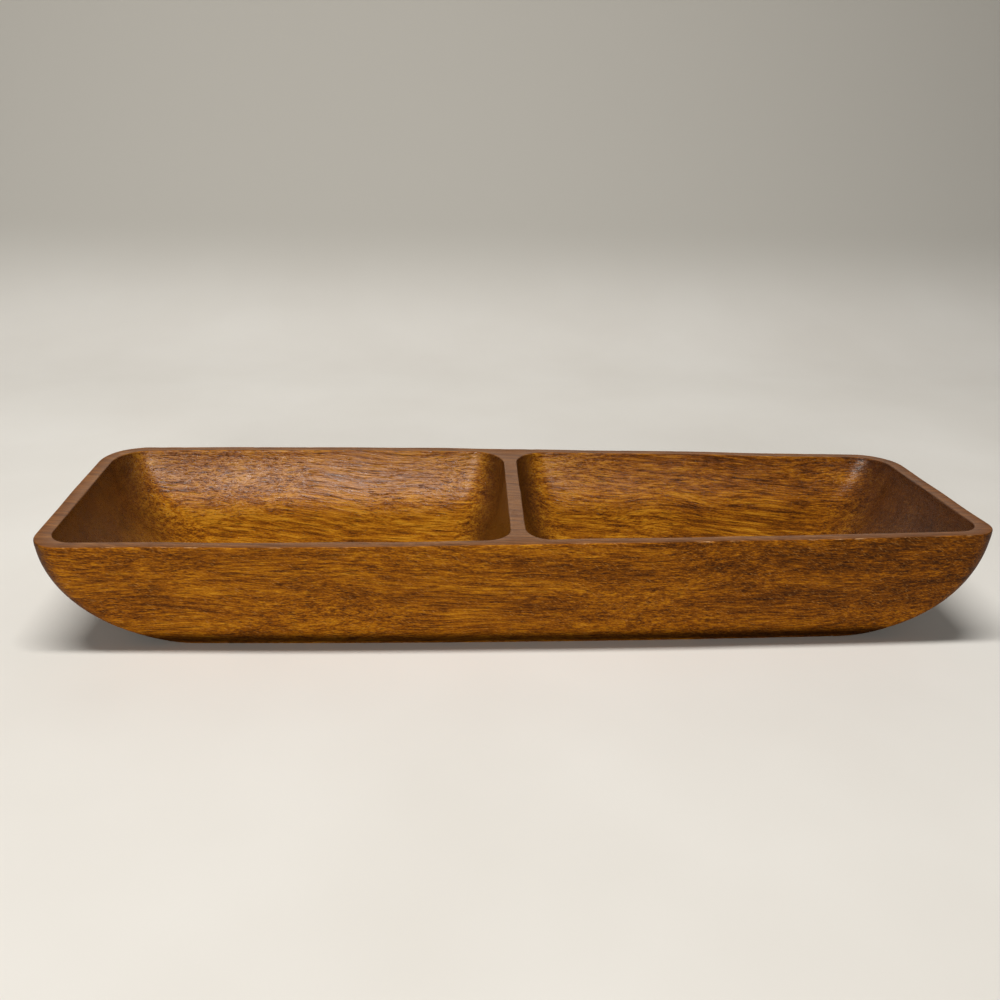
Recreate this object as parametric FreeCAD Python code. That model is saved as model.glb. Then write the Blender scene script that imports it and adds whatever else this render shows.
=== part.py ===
import FreeCAD
import Part
import math
import os

from FreeCAD import Vector

# A two-compartment serving tray, carved from one plank of hardwood.
#
# Frame: +X along the tray, +Y across it to the back, +Z up.  The origin is the centre of the
# flat base, on the surface that the tray stands on.  All sizes are in millimetres.
#
# The outside and the two hollows are lofts through level outlines.  An outline has two long
# sides that bow outwards, two straight ends and four round corners.  Going down from the rim,
# each wall moves inwards along a superellipse: upright at the top and level at the bottom.

# --- overall ---------------------------------------------------------------------------
length = 457.0               # end to end at the rim
width = 137.0                # across the middle of the rim
rim_height = 57.5            # the rim above the base, at the middle of the tray
side_bow = 4.5               # how far a long side stands out at mid length
rim_twist = 2.2              # two opposite corners of the rim are this much high, two this low

# --- outside ---------------------------------------------------------------------------
end_sweep = 77.0             # how far an end comes in between the rim and the base
side_sweep = 12.0            # how far a long side comes in
end_exponent = 2.15          # superellipse exponent of an end: 2 is an ellipse
side_exponent = 1.5          # the same for a long side: 1 is a straight slope
front_corner_radius = 15.0   # the rim's outside corners at the front, -Y
back_corner_radius = 23.0    # and at the back, +Y
base_corner_radius = 10.0    # all four corners at the base

# --- walls -----------------------------------------------------------------------------
end_wall = 7.2               # rim width at the two ends
side_wall = 5.9              # rim width along the two long sides
divider_wall = 7.3           # width of the divider's top
divider_offset = -2.5        # the divider's middle from the middle of the tray
divider_skew = 1.8           # degrees that the divider is turned from square
floor_thickness = 9.0        # wood left under each hollow
flat_cut = 1.5               # the base and the floors are flats cut this far up into the curves

# --- hollows ---------------------------------------------------------------------------
hollow_end_sweep = 70.0      # how far a hollow's end wall comes in on its way down
hollow_side_sweep = 40.0     # the same for its two long walls
hollow_divider_sweep = 30.0  # the same for its wall against the divider
hollow_exponent = 1.9        # superellipse exponent of every hollow wall
hollow_front_radius = 12.0   # a hollow's corners at the rim, at the front
hollow_back_radius = 18.0    # and at the back
hollow_floor_radius = 20.0   # all its corners at the floor

# --- edges -----------------------------------------------------------------------------
rim_easing = 0.8             # radius that takes the sharpness off the rim's edges

LEVELS = 10                  # steps between the level outlines of a loft
ROUNDEST = 0.9               # a floor corner's radius is at most this share of the floor's half width
SAME_SURFACE = 0.02          # an edge this near to the rim's surface lies in it

top_height = rim_height + rim_twist
side_radius = ((length / 2) ** 2 + side_bow ** 2) / (2 * side_bow)


class End:
    """A straight end of an outline: where it crosses the X axis, its skew, and its way inwards."""

    def __init__(self, x, skew, inward):
        self.along = (math.sin(math.radians(skew)), math.cos(math.radians(skew)))
        self.normal = (inward * self.along[1], -inward * self.along[0])
        self.x = x

    def corner(self, side, radius, half_width, bow_radius):
        """Start, middle and end of the arc from this end to the long side at +Y (1) or -Y (-1)."""
        bow_centre = side * (half_width - bow_radius)
        # The arc's centre is one radius inside the end and one radius inside the bowed side.
        foot = (self.x + radius * self.normal[0], radius * self.normal[1])
        from_bow = (foot[0], foot[1] - bow_centre)
        half_b = from_bow[0] * self.along[0] + from_bow[1] * self.along[1]
        c = from_bow[0] ** 2 + from_bow[1] ** 2 - (bow_radius - radius) ** 2
        reach = -half_b + side * math.sqrt(half_b ** 2 - c)
        centre = (foot[0] + reach * self.along[0], foot[1] + reach * self.along[1])
        start = (centre[0] - radius * self.normal[0], centre[1] - radius * self.normal[1])
        stretch = bow_radius / (bow_radius - radius)
        finish = (centre[0] * stretch, bow_centre + (centre[1] - bow_centre) * stretch)
        lean = (start[0] + finish[0] - 2 * centre[0], start[1] + finish[1] - 2 * centre[1])
        scale = radius / math.hypot(*lean)
        middle = (centre[0] + lean[0] * scale, centre[1] + lean[1] * scale)
        return start, middle, finish


def outline(low_end, high_end, half_width, bow_radius, radii, z):
    """Closed wire at height z.  radii gives the corner radius at the front and at the back."""
    def at_height(points):
        return [Vector(x, y, z) for x, y in points]

    edges = []
    starts = []
    for side, radius in zip((-1, 1), radii):
        low = low_end.corner(side, radius, half_width, bow_radius)
        high = high_end.corner(side, radius, half_width, bow_radius)
        middle_x = (low[2][0] + high[2][0]) / 2
        middle_y = side * (half_width - bow_radius + math.sqrt(bow_radius ** 2 - middle_x ** 2))
        edges.append(Part.Arc(*at_height(low)).toShape())
        edges.append(Part.Arc(*at_height([low[2], (middle_x, middle_y), high[2]])).toShape())
        edges.append(Part.Arc(*at_height(high)).toShape())
        starts.append((low[0], high[0]))
    for front, back in zip(*starts):
        edges.append(Part.LineSegment(*at_height([front, back])).toShape())
    return Part.Wire(Part.__sortEdges__(edges))


def travel(sweep, exponent, depth):
    """How far a wall has moved inwards at a depth from 0 at the top to 1 at the bottom."""
    return sweep * (1 - max(0.0, 1 - depth ** exponent) ** (1 / exponent))


def blend(top, bottom, depth):
    return top + (bottom - top) * depth


def depths():
    """Depths of the outlines, closer together towards the bottom, where the walls turn level."""
    return [math.sin(math.pi / 2 * step / LEVELS) for step in range(LEVELS + 1)]


def cut_flat(body, z):
    """The body without what lies below height z."""
    return body.cut(Part.makeBox(2 * length, 2 * width, top_height, Vector(-length, -width, z - top_height)))


def outside():
    """The tray before it is hollowed, up to the height of its highest corner."""
    wires = []
    lowest = -flat_cut
    for depth in depths():
        reach = length / 2 - travel(end_sweep, end_exponent, depth)
        side_in = travel(side_sweep, side_exponent, depth)
        radii = [blend(r, base_corner_radius, depth) for r in (front_corner_radius, back_corner_radius)]
        wires.append(outline(End(-reach, 0, 1), End(reach, 0, -1), width / 2 - side_in,
                             side_radius - side_in, radii, blend(top_height, lowest, depth)))
    return cut_flat(Part.makeLoft(wires, True, False), 0)


def hollow(direction):
    """One compartment: direction is -1 for the one towards -X and 1 for the one towards +X."""
    wires = []
    lowest = floor_thickness - flat_cut
    floor_half_width = width / 2 - side_wall - hollow_side_sweep
    floor_radius = min(hollow_floor_radius, ROUNDEST * floor_half_width)
    divider_face = divider_offset + direction * divider_wall / 2
    end_face = direction * (length / 2 - end_wall)
    for depth in depths():
        near = divider_face + direction * travel(hollow_divider_sweep, hollow_exponent, depth)
        far = end_face - direction * travel(hollow_end_sweep, hollow_exponent, depth)
        ends = sorted([(near, divider_skew), (far, 0)])
        side_in = side_wall + travel(hollow_side_sweep, hollow_exponent, depth)
        radii = [blend(r, floor_radius, depth) for r in (hollow_front_radius, hollow_back_radius)]
        wires.append(outline(End(*ends[0], 1), End(*ends[1], -1), width / 2 - side_in,
                             side_radius - side_in, radii, blend(top_height, lowest, depth)))
    return cut_flat(Part.makeLoft(wires, True, False), floor_thickness)


def rim_z(x, y):
    """Height of the rim's surface, which twists from corner to corner."""
    return rim_height - rim_twist * (x / (length / 2)) * (y / (width / 2))


def above_rim():
    """The space above the rim's surface."""
    poles = [[Vector(x, y, rim_z(x, y)) for y in (-width, width)] for x in (-length, length)]
    surface = Part.BSplineSurface()
    surface.buildFromPolesMultsKnots(poles, [2, 2], [2, 2], [0, 1], [0, 1], False, False, 1, 1)
    return surface.toShape().extrude(Vector(0, 0, rim_height))


def is_rim_edge(edge):
    """True for an edge that lies in the rim's surface all the way."""
    for fraction in (0.1, 0.5, 0.9):
        point = edge.valueAt(edge.FirstParameter + fraction * (edge.LastParameter - edge.FirstParameter))
        if abs(point.z - rim_z(point.x, point.y)) > SAME_SURFACE:
            return False
    return True


def carved_tray():
    tray = outside().cut(hollow(-1)).cut(hollow(1)).cut(above_rim())
    rim_edges = [edge for edge in tray.Edges if is_rim_edge(edge)]
    return tray.makeFillet(rim_easing, rim_edges).Solids[0]


if __name__ == "__main__":
    os.makedirs("parts", exist_ok=True)
    shape = carved_tray()
    print("valid", shape.isValid(), "faces", len(shape.Faces), "volume", round(shape.Volume))
    shape.exportStep("parts/carved_tray.step")
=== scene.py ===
import math

import bpy
import numpy as np
from mathutils import Matrix, Vector, noise
from mathutils.geometry import delaunay_2d_cdt


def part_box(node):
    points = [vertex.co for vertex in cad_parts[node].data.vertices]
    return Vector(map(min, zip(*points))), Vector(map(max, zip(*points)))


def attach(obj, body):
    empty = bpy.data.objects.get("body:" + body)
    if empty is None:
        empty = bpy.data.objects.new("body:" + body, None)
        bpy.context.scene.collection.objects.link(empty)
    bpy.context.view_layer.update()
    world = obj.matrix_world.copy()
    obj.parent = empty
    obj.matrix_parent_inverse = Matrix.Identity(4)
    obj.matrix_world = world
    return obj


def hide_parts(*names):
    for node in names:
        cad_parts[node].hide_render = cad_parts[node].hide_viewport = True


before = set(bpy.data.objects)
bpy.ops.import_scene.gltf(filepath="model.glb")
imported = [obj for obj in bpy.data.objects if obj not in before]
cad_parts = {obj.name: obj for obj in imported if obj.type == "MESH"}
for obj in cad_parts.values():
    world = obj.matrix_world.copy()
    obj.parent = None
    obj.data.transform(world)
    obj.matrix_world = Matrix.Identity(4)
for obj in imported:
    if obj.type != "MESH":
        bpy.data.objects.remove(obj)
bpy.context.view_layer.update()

MM = 0.001

# ---------------------------------------------------------------------------------------
# Sizes of the tray, in millimetres, the same as the CAD model's
# ---------------------------------------------------------------------------------------
low_corner, high_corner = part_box("carved_tray")
LENGTH = (high_corner[0] - low_corner[0]) / MM
WIDTH = (high_corner[1] - low_corner[1]) / MM
RIM_TWIST = 2.2
RIM_HEIGHT = 57.5
TOP_HEIGHT = RIM_HEIGHT + RIM_TWIST
SIDE_BOW = 4.5
BOW_RADIUS = ((LENGTH / 2) ** 2 + SIDE_BOW ** 2) / (2 * SIDE_BOW)

END_SWEEP, END_EXPONENT = 77.0, 2.15
SIDE_SWEEP, SIDE_EXPONENT = 12.0, 1.5
RIM_CORNERS = (15.0, 23.0)          # outside corner radii at the front and at the back
BASE_CORNER = 10.0

END_WALL, SIDE_WALL, DIVIDER_WALL = 7.2, 5.9, 7.3
DIVIDER_OFFSET = -2.5
DIVIDER_SKEW = math.radians(1.8)
FLOOR = 9.0
FLAT_CUT = 1.5
RIM_DEPTH = (TOP_HEIGHT - RIM_HEIGHT) / (TOP_HEIGHT + FLAT_CUT)     # how deep the rim lies on a wall
HOLLOW_END, HOLLOW_SIDE, HOLLOW_DIVIDER = 70.0, 40.0, 30.0
HOLLOW_EXPONENT = 1.9
MOUTH_CORNERS = (12.0, 18.0)
FLOOR_CORNER = 20.0

# How finely an outline is divided: straight end, corner and long side
OUTER_STEPS = (48, 14, 230)
HOLLOW_STEPS = (48, 16, 110)
LEVELS = 44                         # level outlines down a wall
ROUND_STEPS = 5                     # rings over a rounded rim edge
RIM_BAND = 4.0                      # the walls' own levels stop this far below the rim
BASE_SOFTNESS, FLOOR_SOFTNESS = 0.8, 2.0    # how softly a wall runs into the base and into a floor
FLOOR_CROWN = 0.45                  # how much a floor's edge stands above its flat


# ---------------------------------------------------------------------------------------
# Outlines
# ---------------------------------------------------------------------------------------
def corner(end_x, skew, inward, side, radius, half_width, bow):
    """Centre of the arc between a straight end and the side at -Y (-1) or +Y (1), and its two limits."""
    along = np.array([math.sin(skew), math.cos(skew)])
    normal = inward * np.array([along[1], -along[0]])
    bow_centre = np.array([0.0, side * (half_width - bow)])
    foot = np.array([end_x, 0.0]) + radius * normal
    half_b = (foot - bow_centre) @ along
    c = (foot - bow_centre) @ (foot - bow_centre) - (bow - radius) ** 2
    centre = foot + (side * math.sqrt(half_b ** 2 - c) - half_b) * along
    return centre, -normal, (centre - bow_centre) / (bow - radius)


def arc(centre, radius, first, last, steps):
    """Points from direction first towards direction last, without the last point."""
    start = math.atan2(first[1], first[0])
    turn = (math.atan2(last[1], last[0]) - start + math.pi) % (2 * math.pi) - math.pi
    angles = start + turn * np.arange(steps) / steps
    return centre + radius * np.column_stack([np.cos(angles), np.sin(angles)])


def line(first, last, steps):
    share = np.arange(steps)[:, None] / steps
    return first + (last - first) * share


def outline(low, high, half_width, bow, radii, steps):
    """Closed outline, counter-clockwise from above.  low and high are (x, skew) of the two ends."""
    end_steps, corner_steps, side_steps = steps
    ends = {"low": (*low, 1), "high": (*high, -1)}
    at = {}
    for name, (x, skew, inward) in ends.items():
        for side, radius in zip((-1, 1), radii):
            at[name, side] = (*corner(x, skew, inward, side, radius, half_width, bow), radius)

    def start(key):
        centre, towards_end, _, radius = at[key]
        return centre + radius * towards_end

    def bowed(side, first, last):
        bow_centre = np.array([0.0, side * (half_width - bow)])
        return arc(bow_centre, bow, at[first, side][2], at[last, side][2], side_steps)

    def turned(key, to_side):
        centre, towards_end, towards_side, radius = at[key]
        limits = (towards_end, towards_side) if to_side else (towards_side, towards_end)
        return arc(centre, radius, *limits, corner_steps)

    return np.vstack([
        line(start(("low", 1)), start(("low", -1)), end_steps),
        turned(("low", -1), True),
        bowed(-1, "low", "high"),
        turned(("high", -1), False),
        line(start(("high", -1)), start(("high", 1)), end_steps),
        turned(("high", 1), True),
        bowed(1, "high", "low"),
        turned(("low", 1), False),
    ])


def inward(points):
    """Unit normals of a closed counter-clockwise outline, pointing to its inside."""
    along = np.roll(points, -1, axis=0) - np.roll(points, 1, axis=0)
    along /= np.linalg.norm(along, axis=1)[:, None]
    return np.column_stack([-along[:, 1], along[:, 0]])


def travel(sweep, exponent, depth):
    """How far a wall has moved inwards at a depth from 0 at the top to 1 at the bottom."""
    return sweep * (1 - max(0.0, 1 - depth ** exponent) ** (1 / exponent))


def mixed(top, bottom, depth):
    return top + (bottom - top) * depth


def outer_outline(depth):
    reach = LENGTH / 2 - travel(END_SWEEP, END_EXPONENT, depth)
    side_in = travel(SIDE_SWEEP, SIDE_EXPONENT, depth)
    radii = [mixed(radius, BASE_CORNER, depth) for radius in RIM_CORNERS]
    return outline((-reach, 0), (reach, 0), WIDTH / 2 - side_in, BOW_RADIUS - side_in, radii, OUTER_STEPS)


def hollow_outline(direction, depth):
    near = DIVIDER_OFFSET + direction * (DIVIDER_WALL / 2 + travel(HOLLOW_DIVIDER, HOLLOW_EXPONENT, depth))
    far = direction * (LENGTH / 2 - END_WALL - travel(HOLLOW_END, HOLLOW_EXPONENT, depth))
    low, high = sorted([(near, DIVIDER_SKEW), (far, 0)])
    side_in = SIDE_WALL + travel(HOLLOW_SIDE, HOLLOW_EXPONENT, depth)
    radii = [mixed(radius, FLOOR_CORNER, depth) for radius in MOUTH_CORNERS]
    return outline(low, high, WIDTH / 2 - side_in, BOW_RADIUS - side_in, radii, HOLLOW_STEPS)


def twisted(points, z):
    """Heights of outline points once the rim's twist, which fades out downwards, is added."""
    twist = -RIM_TWIST * points[:, 0] / (LENGTH / 2) * points[:, 1] / (WIDTH / 2)
    return z + twist * np.clip(z / RIM_HEIGHT, 0, 1) ** 4


def smooth_max(z, floor, softness):
    return 0.5 * (z + floor + math.sqrt((z - floor) ** 2 + softness ** 2))


# ---------------------------------------------------------------------------------------
# The tray's mesh
# ---------------------------------------------------------------------------------------
class Shell:
    """Vertices in millimetres, faces, and per vertex how much it is rim, worn edge and hollow."""

    def __init__(self):
        self.points, self.rim, self.edge, self.hollow = [], [], [], []
        self.faces = []

    def ring(self, flat, z, rim=0.0, edge=0.0, hollow=0.0):
        first = len(self.points)
        heights = np.broadcast_to(z, len(flat))
        self.points.extend(zip(flat[:, 0], flat[:, 1], heights))
        for values, value in ((self.rim, rim), (self.edge, edge), (self.hollow, hollow)):
            values.extend(np.broadcast_to(value, len(flat)))
        return list(range(first, first + len(flat)))

    def bridge(self, a, b):
        for i in range(len(a)):
            j = (i + 1) % len(a)
            self.faces.append((a[i], a[j], b[j], b[i]))

    def stack(self, rings):
        for a, b in zip(rings, rings[1:]):
            self.bridge(a, b)

    def fan(self, ring, centre, upwards, hollow=0.0):
        middle = self.ring(np.array([centre[:2]]), centre[2], hollow=hollow)[0]
        for i in range(len(ring)):
            j = (i + 1) % len(ring)
            self.faces.append((ring[i], ring[j], middle) if upwards else (ring[j], ring[i], middle))


def wear(x, y, seed, size):
    """Smooth value from -1 to 1 that tells how much an edge is worn at a place."""
    return noise.noise(Vector((x / size + seed, y / size - seed, seed * 0.37)))


def rounding(points, usual, spread, seed):
    """Edge radius at each point: the usual one, changed slowly, with a few short knocks."""
    radii = []
    for x, y in points:
        slow = wear(x, y, seed, 31.0)
        short = max(0.0, wear(x, y, seed + 7, 6.5) - 0.28)
        radii.append(usual + spread * slow + 2.2 * spread * short)
    return np.clip(np.array(radii), 0.25, 2.0)


def rounded_rings(shell, flat, radii, side, hollow):
    """Rings over a rim edge, from the upright wall to the level rim.  side is 1 at an outside edge."""
    normals = inward(flat) * side
    rings = []
    for step in range(ROUND_STEPS + 1):
        angle = math.pi / 2 * step / ROUND_STEPS
        moved = flat + normals * (radii * (1 - math.cos(angle)))[:, None]
        z = twisted(flat, RIM_HEIGHT) - radii * (1 - math.sin(angle))
        rings.append(shell.ring(moved, z, rim=math.sin(angle) ** 2, edge=math.sin(2 * angle), hollow=hollow))
    level = flat + normals * (radii + 0.5)[:, None]
    rings.append(shell.ring(level, twisted(flat, RIM_HEIGHT), rim=1.0, edge=0.0, hollow=hollow))
    return rings


def outer_rings(shell):
    """The outside from the middle of the base up to the level rim.  Returns the last ring."""
    base = outer_outline(1.0)
    rings = [shell.ring(base * share, 0.0) for share in (0.04, 0.2, 0.4, 0.6, 0.75, 0.87, 0.95)]
    shell.fan(rings[0], (0, 0, 0), upwards=False)
    base_gap = smooth_max(-FLAT_CUT, 0, BASE_SOFTNESS)
    for step in range(LEVELS, 0, -1):
        depth = math.sin(math.pi / 2 * step / LEVELS)
        z = mixed(TOP_HEIGHT, -FLAT_CUT, depth)
        if z > RIM_HEIGHT - RIM_BAND:
            break
        flat = outer_outline(depth)
        height = max(0.0, smooth_max(z, 0, BASE_SOFTNESS) - base_gap)
        rings.append(shell.ring(flat, twisted(flat, height)))
    rim_line = outer_outline(RIM_DEPTH)
    rings.append(shell.ring(rim_line, twisted(rim_line, RIM_HEIGHT - 2.6)))
    rings += rounded_rings(shell, rim_line, rounding(rim_line, 0.75, 0.45, 3.1), 1, 0.0)
    shell.stack(rings)
    return rings[-1]


def hollow_rings(shell, direction):
    """One hollow from the level rim down to the middle of its floor.  Returns its first ring."""
    mouth = hollow_outline(direction, RIM_DEPTH)
    rings = rounded_rings(shell, mouth, rounding(mouth, 0.7, 0.25, 11.7 + direction), -1, 1.0)[::-1]
    rings.append(shell.ring(mouth, twisted(mouth, RIM_HEIGHT - 2.4), hollow=1.0))
    for step in range(1, LEVELS + 1):
        depth = math.sin(math.pi / 2 * step / LEVELS)
        z = mixed(TOP_HEIGHT, FLOOR - FLAT_CUT, depth)
        if z > RIM_HEIGHT - RIM_BAND:
            continue
        flat = hollow_outline(direction, depth)
        rings.append(shell.ring(flat, twisted(flat, smooth_max(z, FLOOR, FLOOR_SOFTNESS)), hollow=1.0))
    floor_line = hollow_outline(direction, 1.0)
    middle = floor_line.mean(axis=0)
    for share in (0.93, 0.84, 0.72, 0.58, 0.42, 0.25, 0.08):
        flat = middle + (floor_line - middle) * share
        rings.append(shell.ring(flat, FLOOR + FLOOR_CROWN - 0.2 * (1 - share), hollow=1.0))
    shell.stack(rings)
    shell.fan(rings[-1], (middle[0], middle[1], FLOOR + 0.25), upwards=True, hollow=1.0)
    return rings[0]


def rim_top(shell, loops):
    """Triangles over the level rim between the outer loop and the two hollows' loops."""
    indices = [index for loop in loops for index in loop]
    flat = [Vector(shell.points[index][:2]) for index in indices]
    edges = []
    start = 0
    for loop in loops:
        edges += [(start + i, start + (i + 1) % len(loop)) for i in range(len(loop))]
        start += len(loop)
    points, _, triangles, originals, _, _ = delaunay_2d_cdt(flat, edges, [], 0, 1e-6)
    spots = [indices[sources[0]] for sources in originals]
    around, *mouths = [np.array([shell.points[index][:2] for index in loop]) for loop in loops]
    for triangle in triangles:
        centre = np.mean([points[number] for number in triangle], axis=0)
        if any(contains(mouth, centre) for mouth in mouths):
            continue
        if not contains(around, centre):
            continue
        shell.faces.append(tuple(spots[number] for number in triangle))


def contains(polygon, point):
    """True if the point is inside the closed polygon."""
    x, y = point
    x1, y1 = polygon[:, 0], polygon[:, 1]
    x2, y2 = np.roll(x1, -1), np.roll(y1, -1)
    crosses = (y1 > y) != (y2 > y)
    rise = np.where(crosses, y2 - y1, 1.0)
    return np.count_nonzero(crosses & (x < (x2 - x1) * (y - y1) / rise + x1)) % 2 == 1


def hand_carved(points, normals, hollow):
    """The points moved by the small unevenness that hand tools leave, the same every time."""
    noise.seed_set(7)
    moved = points.copy()
    for i, (point, normal) in enumerate(zip(points, normals)):
        lift = min(1.0, max(0.0, point[2] / 5.0))
        slow = noise.noise_vector(Vector(point) / 48.0)
        gouge = noise.noise(Vector((point[0] / 26.0, point[1] / 13.0, point[2] / 13.0 + 5)))
        moved[i] += lift * (0.45 * np.array(slow) + 0.30 * hollow[i] * gouge * normal)
    return moved


def make_tray():
    shell = Shell()
    loops = [outer_rings(shell)] + [hollow_rings(shell, direction) for direction in (-1, 1)]
    rim_top(shell, loops)
    mesh = bpy.data.meshes.new("tray")
    mesh.from_pydata([Vector(point) for point in shell.points], [], shell.faces)
    normals = np.array([vertex.normal[:] for vertex in mesh.vertices])
    points = hand_carved(np.array(shell.points), normals, np.array(shell.hollow))
    mesh.vertices.foreach_set("co", (points * MM).ravel())
    for name, values in (("rim", shell.rim), ("edge", shell.edge), ("hollow", shell.hollow)):
        mesh.attributes.new(name, "FLOAT", "POINT").data.foreach_set("value", np.array(values, dtype=float))
    mesh.polygons.foreach_set("use_smooth", [True] * len(mesh.polygons))
    mesh.update()
    tray = bpy.data.objects.new("tray", mesh)
    bpy.context.scene.collection.objects.link(tray)
    return tray


# ---------------------------------------------------------------------------------------
# Materials
# ---------------------------------------------------------------------------------------
class Nodes:
    """Short ways to add nodes to a material.  Coordinates are in millimetres."""

    def __init__(self, name):
        self.material = bpy.data.materials.new(name)
        self.material.use_nodes = True
        self.tree = self.material.node_tree
        self.shader = self.tree.nodes["Principled BSDF"]

    def add(self, kind, **settings):
        node = self.tree.nodes.new("ShaderNode" + kind)
        for name, value in settings.items():
            setattr(node, name, value)
        return node

    def put(self, value, socket):
        if isinstance(value, bpy.types.NodeSocket):
            self.tree.links.new(value, socket)
        else:
            socket.default_value = value

    def math(self, operation, *values):
        node = self.add("Math", operation=operation)
        for value, socket in zip(values, node.inputs):
            self.put(value, socket)
        return node.outputs[0]

    def place(self, source, scale, turn=(0, 0, 0), shift=(0, 0, 0)):
        """Coordinates turned, then divided by scale: a pattern's size along each axis."""
        node = self.add("Mapping", vector_type="TEXTURE")
        self.put(source, node.inputs["Vector"])
        node.inputs["Location"].default_value = shift
        node.inputs["Rotation"].default_value = [math.radians(angle) for angle in turn]
        node.inputs["Scale"].default_value = scale
        return node.outputs[0]

    def noise(self, source, detail=2.0, roughness=0.5):
        node = self.add("TexNoise")
        self.put(source, node.inputs["Vector"])
        node.inputs["Scale"].default_value = 1.0
        node.inputs["Detail"].default_value = detail
        node.inputs["Roughness"].default_value = roughness
        return node.outputs["Fac"]

    def between(self, value, low, high, to_low=0.0, to_high=1.0):
        """value from low..high to to_low..to_high, clamped."""
        node = self.add("MapRange", interpolation_type="SMOOTHSTEP")
        for item, socket in zip((value, low, high, to_low, to_high), node.inputs):
            self.put(item, socket)
        return node.outputs[0]

    def ramp(self, value, stops):
        node = self.add("ValToRGB")
        self.put(value, node.inputs[0])
        elements = node.color_ramp.elements
        while len(elements) < len(stops):
            elements.new(0.5)
        for element, (place, colour) in zip(elements, stops):
            element.position = place
            element.color = (*colour, 1)
        return node.outputs[0]

    def blend(self, share, a, b):
        node = self.add("Mix", data_type="RGBA")
        self.put(share, node.inputs["Factor"])
        for value, socket in ((a, node.inputs["A"]), (b, node.inputs["B"])):
            self.put((*value, 1) if isinstance(value, tuple) and len(value) == 3 else value, socket)
        return node.outputs["Result"]

    def attribute(self, name):
        return self.add("Attribute", attribute_type="GEOMETRY", attribute_name=name).outputs["Fac"]

    def millimetres(self):
        node = self.add("VectorMath", operation="SCALE")
        self.put(self.add("TexCoord").outputs["Object"], node.inputs[0])
        node.inputs["Scale"].default_value = 1 / MM
        return node.outputs[0]


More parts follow.
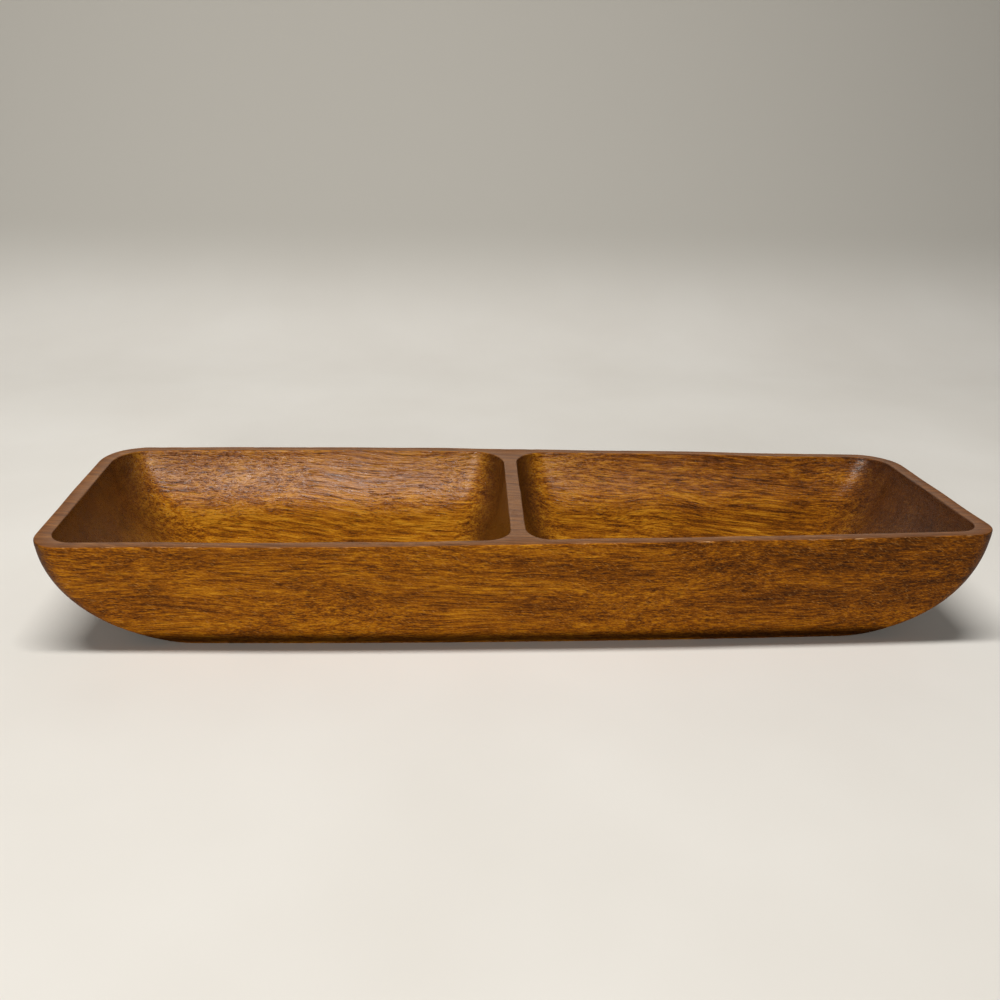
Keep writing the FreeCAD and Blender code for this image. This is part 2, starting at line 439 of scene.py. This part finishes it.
def wood_material():
    """Golden-brown hardwood with an oiled satin finish.  Its grain runs along the tray."""
    n = Nodes("oiled_hardwood")
    place = n.millimetres()

    # The grain wanders a little and leans across the tray, so hollows cut it at a slant.
    wander = n.add("VectorMath", operation="MULTIPLY_ADD")
    slow = n.add("TexNoise")
    n.put(n.place(place, (90, 40, 40)), slow.inputs["Vector"])
    slow.inputs["Scale"].default_value = 1.0
    slow.inputs["Detail"].default_value = 1.0
    n.put(slow.outputs["Color"], wander.inputs[0])
    wander.inputs[1].default_value = (0, 14, 14)
    n.put(place, wander.inputs[2])
    grain = n.place(wander.outputs[0], (1, 1, 1), turn=(0, 1.5, -8))

    rim = n.attribute("rim")
    edge = n.attribute("edge")
    hollow = n.attribute("hollow")

    facing = n.add("SeparateXYZ")
    n.put(n.add("NewGeometry").outputs["Normal"], facing.inputs[0])
    end_grain = n.between(n.math("ABSOLUTE", facing.outputs["X"]), 0.12, 0.80)
    position = n.add("SeparateXYZ")
    n.put(place, position.inputs[0])

    # Bands, streaks and fine fibres, each a long way along the grain and short across it
    bands = n.noise(n.place(grain, (120, 15, 12)), detail=3, roughness=0.55)
    patches = n.noise(n.place(grain, (22, 8, 6), shift=(40, 3, 9)), detail=2)
    streaks = n.noise(n.place(grain, (42, 1.9, 1.5)), detail=4, roughness=0.6)
    fibres = n.noise(n.place(grain, (13, 0.60, 0.5)), detail=3, roughness=0.6)
    fuzz = n.noise(n.place(grain, (1.3, 0.45, 0.40)), detail=2)
    flecks = n.noise(n.place(place, (2.6, 1.0, 0.45), turn=(0, 30, 0)), detail=2)

    tone = n.math("MULTIPLY_ADD", n.math("SUBTRACT", bands, 0.5), 0.45, 0.52)
    tone = n.math("MULTIPLY_ADD", n.math("SUBTRACT", patches, 0.5), 0.22, tone)
    contrast = n.math("MULTIPLY_ADD", hollow, 0.45, 0.60)
    tone = n.math("MULTIPLY_ADD", n.math("SUBTRACT", streaks, 0.5), contrast, tone)
    tone = n.math("MULTIPLY_ADD", n.math("SUBTRACT", fibres, 0.5), 0.80, tone)
    tone = n.math("MULTIPLY_ADD", n.math("SUBTRACT", fuzz, 0.5), 0.45, tone)
    # Painted shade: the colour is darkened towards the right end (+X), standing in for light that falls off
    # away from the left
    tone = n.math("MULTIPLY_ADD", n.between(position.outputs["X"], -80.0, 230.0), -0.12, tone)
    tone = n.math("MULTIPLY_ADD", hollow, 0.09, tone)
    colour = n.ramp(tone, [
        (0.20, (0.036, 0.011, 0.002)),
        (0.38, (0.130, 0.037, 0.002)),
        (0.52, (0.275, 0.083, 0.003)),
        (0.66, (0.450, 0.165, 0.005)),
        (0.85, (0.650, 0.290, 0.018)),
    ])

    # Open pores: thin dark dashes along the grain
    pore_grain = n.place(wander.outputs[0], (1, 1, 1), turn=(0, 1.0, -4))
    pore_noise = n.noise(n.place(pore_grain, (13.0, 0.55, 0.45), shift=(3, 1, 2)), detail=2)
    pores = n.between(pore_noise, 0.57, 0.68)
    colour = n.blend(n.math("MULTIPLY", pores, 0.70), colour, (0.035, 0.010, 0.003))

    # Light flecks where sanding marks cross the fibres, mostly on the outside
    fleck = n.math("MULTIPLY", n.between(flecks, 0.58, 0.74), n.math("MULTIPLY_ADD", hollow, -0.32, 0.42))
    colour = n.blend(fleck, colour, (0.56, 0.27, 0.07))

    # End grain drinks more oil, so it is darker and plainer
    end_colour = n.ramp(n.math("MULTIPLY_ADD", fuzz, 0.5, n.math("MULTIPLY", patches, 0.5)), [
        (0.30, (0.022, 0.007, 0.003)),
        (0.70, (0.085, 0.027, 0.009)),
    ])
    colour = n.blend(n.math("MULTIPLY", end_grain, 0.85), colour, end_colour)

    # Painted shade: the edge that turns under to the base is painted nearly black, standing in for the deep
    # shadow between it and the floor
    downwards = n.between(facing.outputs["Z"], -0.10, -0.28)
    near_base = n.math("MULTIPLY", n.between(position.outputs["Z"], 9.0, 3.5),
                       n.between(position.outputs["Z"], -0.5, 2.5))
    painted_under_shade = n.math("MULTIPLY", downwards, near_base)
    colour = n.blend(n.math("MULTIPLY", painted_under_shade, 0.85), colour, (0.010, 0.004, 0.002))

    # The rim's top is dry and rubbed, with little gold left in it
    rim_colour = n.ramp(n.math("MULTIPLY_ADD", streaks, 0.5, n.math("MULTIPLY", fibres, 0.5)), [
        (0.32, (0.070, 0.028, 0.014)),
        (0.68, (0.280, 0.128, 0.058)),
    ])
    colour = n.blend(n.between(rim, 0.45, 0.95, 0.0, 0.88), colour, rim_colour)

    # Bare wood where the outer edge is worn through
    worn_noise = n.noise(n.place(place, (13, 13, 1.5), shift=(8, 0, 0)), detail=4, roughness=0.75)
    bare = n.math("MULTIPLY", n.between(worn_noise, 0.54, 0.64), n.between(edge, 0.55, 1.0))
    bare = n.math("MULTIPLY", bare, n.math("SUBTRACT", 1.0, hollow))
    colour = n.blend(n.math("MULTIPLY", bare, 0.75), colour, (0.60, 0.34, 0.15))
    n.put(colour, n.shader.inputs["Base Color"])

    rough = n.math("MULTIPLY_ADD", fibres, 0.56, n.math("MULTIPLY_ADD", hollow, -0.18, 0.20))
    rough = n.math("MULTIPLY_ADD", n.math("MAXIMUM", rim, bare), 0.12, rough)
    n.put(rough, n.shader.inputs["Roughness"])
    n.shader.inputs["IOR"].default_value = 1.45
    gloss = n.math("MULTIPLY_ADD", hollow, 0.74, 0.06)
    n.put(n.math("MULTIPLY", gloss, n.math("SUBTRACT", 1.0, painted_under_shade)), n.shader.inputs["Specular IOR Level"])

    height = n.math("MULTIPLY_ADD", fibres, 0.7, n.math("MULTIPLY", streaks, 0.9))
    height = n.math("MULTIPLY_ADD", pores, -0.5, height)
    height = n.math("MULTIPLY_ADD", flecks, 0.35, height)
    bump = n.add("Bump")
    bump.inputs["Strength"].default_value = 0.6
    bump.inputs["Distance"].default_value = 0.35 * MM
    n.put(height, bump.inputs["Height"])
    n.put(bump.outputs[0], n.shader.inputs["Normal"])
    return n.material


def paper_material():
    """Pale matt studio paper with hardly visible mottling, and painted shade that darkens it where it rises
    behind.
    """
    n = Nodes("studio_paper")
    place = n.millimetres()
    position = n.add("SeparateXYZ")
    n.put(place, position.inputs[0])
    mottle = n.noise(n.place(place, (160, 160, 160)), detail=3)
    colour = n.ramp(mottle, [(0.3, (0.72, 0.70, 0.665)), (0.7, (0.77, 0.755, 0.725))])
    # Painted shade: the paper is darkened as it rises into the wall behind, standing in for less light
    # reaching it there
    colour = n.blend(n.between(position.outputs["Z"], 0.0, 120.0), colour, (0.50, 0.485, 0.45))
    n.put(colour, n.shader.inputs["Base Color"])
    n.shader.inputs["Roughness"].default_value = 0.55
    n.shader.inputs["Specular IOR Level"].default_value = 0.2
    return n.material


# ---------------------------------------------------------------------------------------
# Stage, light and camera
# ---------------------------------------------------------------------------------------
def make_backdrop():
    """A floor that curves up into a wall behind the tray."""
    half_width, front, bend_start, bend_radius, wall_top = 2.2, -1.6, 0.45, 0.45, 2.2
    bend_steps = 24
    profile = [(front, 0.0), (0.0, 0.0)]
    for step in range(bend_steps + 1):
        angle = math.pi / 2 * step / bend_steps
        profile.append((bend_start + bend_radius * math.sin(angle), bend_radius * (1 - math.cos(angle))))
    profile.append((bend_start + bend_radius, wall_top))
    points = [(x, y, z) for y, z in profile for x in (-half_width, half_width)]
    faces = [(2 * i, 2 * i + 1, 2 * i + 3, 2 * i + 2) for i in range(len(profile) - 1)]
    mesh = bpy.data.meshes.new("backdrop")
    mesh.from_pydata(points, [], faces)
    mesh.polygons.foreach_set("use_smooth", [True] * len(faces))
    backdrop = bpy.data.objects.new("backdrop", mesh)
    bpy.context.scene.collection.objects.link(backdrop)
    mesh.materials.append(paper_material())


def area_light(name, place, target, size, power, colour):
    light = bpy.data.lights.new(name, "AREA")
    light.shape = "RECTANGLE"
    light.size, light.size_y = size
    light.energy = power
    light.color = colour
    lamp = bpy.data.objects.new(name, light)
    lamp.location = place
    lamp.rotation_euler = (Vector(target) - Vector(place)).to_track_quat("-Z", "Y").to_euler()
    bpy.context.scene.collection.objects.link(lamp)
    return lamp


def make_light():
    """A long lamp nearly straight above, and a small window low in front and to the left."""
    strip = area_light("strip", (-0.20, -0.135, 1.60), (-0.20, -0.135, 0.0), (1.10, 0.13), 24.5,
                       (1.0, 0.975, 0.93))
    strip.visible_glossy = False
    area_light("window", (-0.24, -1.25, 0.37), (-0.05, 0.05, 0.04), (0.34, 0.14), 6.3, (1.0, 0.96, 0.90))
    world = bpy.data.worlds.new("room")
    world.use_nodes = True
    background = world.node_tree.nodes["Background"]
    background.inputs["Color"].default_value = (1.0, 0.97, 0.93, 1)
    background.inputs["Strength"].default_value = 0.05
    bpy.context.scene.world = world


def make_camera():
    """A camera a little above the tray, in front and to the left of its middle, tilted down."""
    yaw, pitch, roll = math.radians(4.0), math.radians(21.84), math.radians(-1.40)
    forward = Vector((math.sin(yaw) * math.cos(pitch), math.cos(yaw) * math.cos(pitch), -math.sin(pitch)))
    level = Vector((math.cos(yaw), -math.sin(yaw), 0))
    down = forward.cross(level)
    right = level * math.cos(roll) + down * math.sin(roll)
    up = level * math.sin(roll) - down * math.cos(roll)
    turn = Matrix((right, up, -forward)).transposed()
    data = bpy.data.cameras.new("camera")
    data.sensor_width = 36.0
    data.lens = 34.67
    camera = bpy.data.objects.new("camera", data)
    camera.matrix_world = Matrix.Translation((-0.0424, -0.4699, RIM_HEIGHT * MM + 0.1836)) @ turn.to_4x4()
    bpy.context.scene.collection.objects.link(camera)
    bpy.context.scene.camera = camera


# ---------------------------------------------------------------------------------------
tray = make_tray()
tray.data.materials.append(wood_material())
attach(tray, "root")
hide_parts("carved_tray")

make_backdrop()
make_light()
make_camera()
bpy.context.scene.view_settings.view_transform = "Standard"
